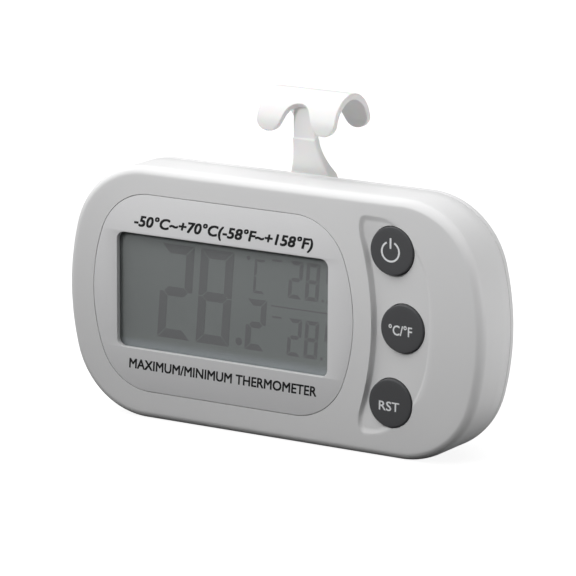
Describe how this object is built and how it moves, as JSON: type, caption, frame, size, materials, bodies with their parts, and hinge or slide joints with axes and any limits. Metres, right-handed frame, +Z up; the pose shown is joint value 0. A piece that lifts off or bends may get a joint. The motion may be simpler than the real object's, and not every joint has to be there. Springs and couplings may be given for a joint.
{
  "type": "maximum minimum thermometer",
  "caption": "Small digital fridge thermometer: pillowed white case, grey display window, round rubber keys, fold-out saddle hook and magnetic back.",
  "frame": {"origin": "centre of the bounding box at the flat face the case stands on", "axes": "+X along the case's length to the keys' side, +Y from the display to the back, +Z up towards the hook"},
  "size_m": [0.086, 0.0212, 0.0607],
  "materials": {
    "case_plastic": "fine satin, off-white moulded plastic",
    "panel_plastic": "smooth satin, light grey printed panel",
    "clear_plastic": "clear polished plastic",
    "hook_plastic": "satin, slightly translucent white plastic",
    "holder_plastic": "plain white moulding",
    "key_rubber": "soft matt charcoal silicone",
    "seal_rubber": "black silicone",
    "carbon": "matt carbon-loaded silicone",
    "lcd_film": "smooth grey-green film",
    "lcd_glass": "polished",
    "board_green": "solder-mask green",
    "chip_epoxy": "cast epoxy",
    "gold_plate": "gold-plated pads",
    "contact_metal": "nickel-plated spring strip",
    "steel": "bright machined",
    "bright_metal": "nickel-plated"
  },
  "bodies": {
    "case": {"front_shell": "case_plastic", "rear_cover": "case_plastic", "case_gasket": "seal_rubber", "label_panel": "panel_plastic", "window_lens": "clear_plastic", "lcd_polarizer": "lcd_film", "lcd_front_glass": "lcd_glass", "lcd_rear_glass": "lcd_glass", "lcd_reflector": "lcd_film", "lcd_holder": "holder_plastic", "zebra_strip": "seal_rubber", "circuit_board": "board_green", "chip_blob": "chip_epoxy", "crystal": "bright_metal", "chip_parts": "chip_epoxy", "thermistor": "chip_epoxy", "keypad_web": "key_rubber", "key_pads": "gold_plate", "coin_cell": "steel", "contact_plus": "contact_metal", "contact_minus": "contact_metal", "door_seal": "seal_rubber", "magnets": "bright_metal", "case_screws": "steel", "board_screws": "steel", "hook_pin": "steel"},
    "power_key": {"key_power": "key_rubber", "pill_power": "carbon"},
    "units_key": {"key_units": "key_rubber", "pill_units": "carbon"},
    "reset_key": {"key_reset": "key_rubber", "pill_reset": "carbon"},
    "hanger": {"hook": "hook_plastic"},
    "door": {"battery_door": "case_plastic"}
  },
  "joints": [
    {"name": "power_press", "type": "slide", "parent": "case", "child": "power_key", "axis": [0, 1, 0], "range_m": [0, 0.0005], "stiffness_N_per_m": 2000, "springref_m": -0.0002},
    {"name": "units_press", "type": "slide", "parent": "case", "child": "units_key", "axis": [0, 1, 0], "range_m": [0, 0.0005], "stiffness_N_per_m": 2000, "springref_m": -0.0002},
    {"name": "reset_press", "type": "slide", "parent": "case", "child": "reset_key", "axis": [0, 1, 0], "range_m": [0, 0.0005], "stiffness_N_per_m": 2000, "springref_m": -0.0002},
    {"name": "hook_fold", "type": "hinge", "parent": "case", "child": "hanger", "pos_m": [0, 0.00385, 0.0411], "axis": [-1, 0, 0], "range_deg": [0, 180]},
    {"name": "door_turn", "type": "hinge", "parent": "case", "child": "door", "pos_m": [-0.023, 0.0106, 0.0231], "axis": [0, 1, 0], "range_deg": [0, 45]}
  ]
}
